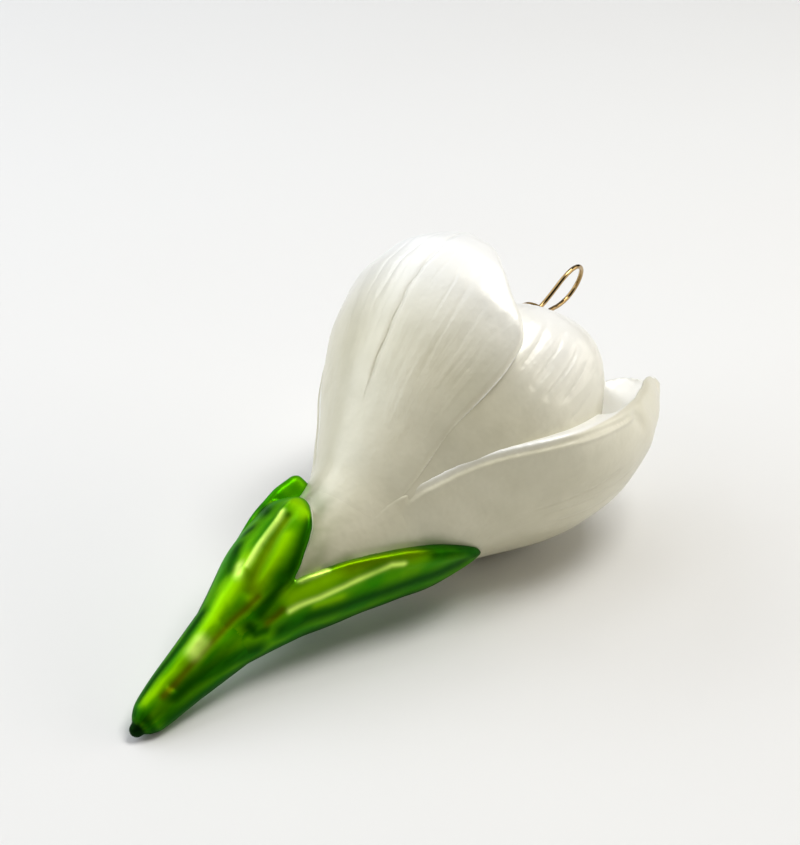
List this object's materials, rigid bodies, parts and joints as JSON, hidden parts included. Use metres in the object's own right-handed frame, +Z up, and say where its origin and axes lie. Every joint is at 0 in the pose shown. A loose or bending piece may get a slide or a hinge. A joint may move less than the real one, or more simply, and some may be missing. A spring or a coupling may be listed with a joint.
{
  "type": "crocus-shaped blown-glass hanging ornament",
  "caption": "Hand-painted blown-glass ornament shaped like an opening white crocus with green bracts and stem, with a crimped gold cap and a wire hanger loop.",
  "frame": {"origin": "on the surface that the ornament lies on, below the middle of its outline box", "axes": "+X along the flower from the stem's end towards the hanger loop, +Z up, -Y towards the side petal that curls up from the surface"},
  "size_m": [0.123, 0.0632, 0.0607],
  "materials": {
    "lacquered_glass": "glossy pearl white lacquer, with translucent green lacquer on the bracts and stem",
    "gold_cap": "thin stamped metal, bright gold",
    "gold_wire": "bright gold spring wire"
  },
  "bodies": {
    "root": {"glass_flower": "lacquered_glass", "cap": "gold_cap", "hanger_wire": "gold_wire"}
  },
  "joints": []
}
